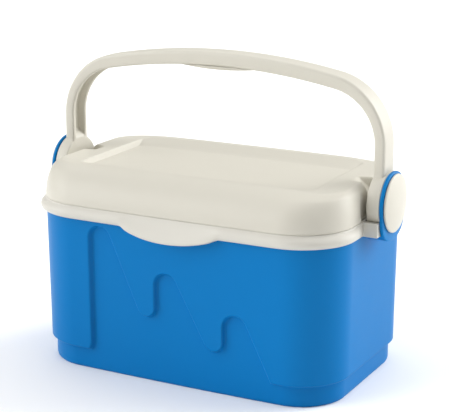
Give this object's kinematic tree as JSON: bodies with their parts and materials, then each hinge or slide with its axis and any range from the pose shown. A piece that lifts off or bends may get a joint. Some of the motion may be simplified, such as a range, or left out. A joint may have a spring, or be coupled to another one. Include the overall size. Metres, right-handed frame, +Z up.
{
  "type": "cooler chest",
  "caption": "Small rigid cooler chest with foam-filled walls, a lift-off lid with a tray top, and a carry handle that swings on hubs at both ends.",
  "frame": {"origin": "centre of the base, on the surface the chest stands on", "axes": "+X along the long side, -Y towards the front, +Z up"},
  "size_m": [0.424, 0.262, 0.352],
  "materials": {
    "blue_shell": "satin moulded plastic, cyan blue",
    "white_liner": "satin moulded plastic, warm white",
    "white_trim": "satin moulded plastic, warm white",
    "foam": "closed-cell foam beads"
  },
  "bodies": {
    "tub": {"outer_shell": "blue_shell", "shell_insulation": "foam", "inner_liner": "white_liner"},
    "lid": {"lid_cover": "white_trim", "lid_insulation": "foam", "lid_liner": "white_liner"},
    "handle": {"handle_bail": "white_trim", "grip_insert": "white_trim", "left_pivot_cap": "white_trim", "right_pivot_cap": "white_trim"}
  },
  "joints": [
    {"name": "handle_swing", "type": "hinge", "parent": "tub", "child": "handle", "pos_m": [0, 0, 0.205], "axis": [1, 0, 0], "range_deg": [-90, 90]},
    {"name": "lid_lift", "type": "slide", "parent": "tub", "child": "lid", "axis": [0, 0, 1], "range_m": [0, 0.07]}
  ]
}
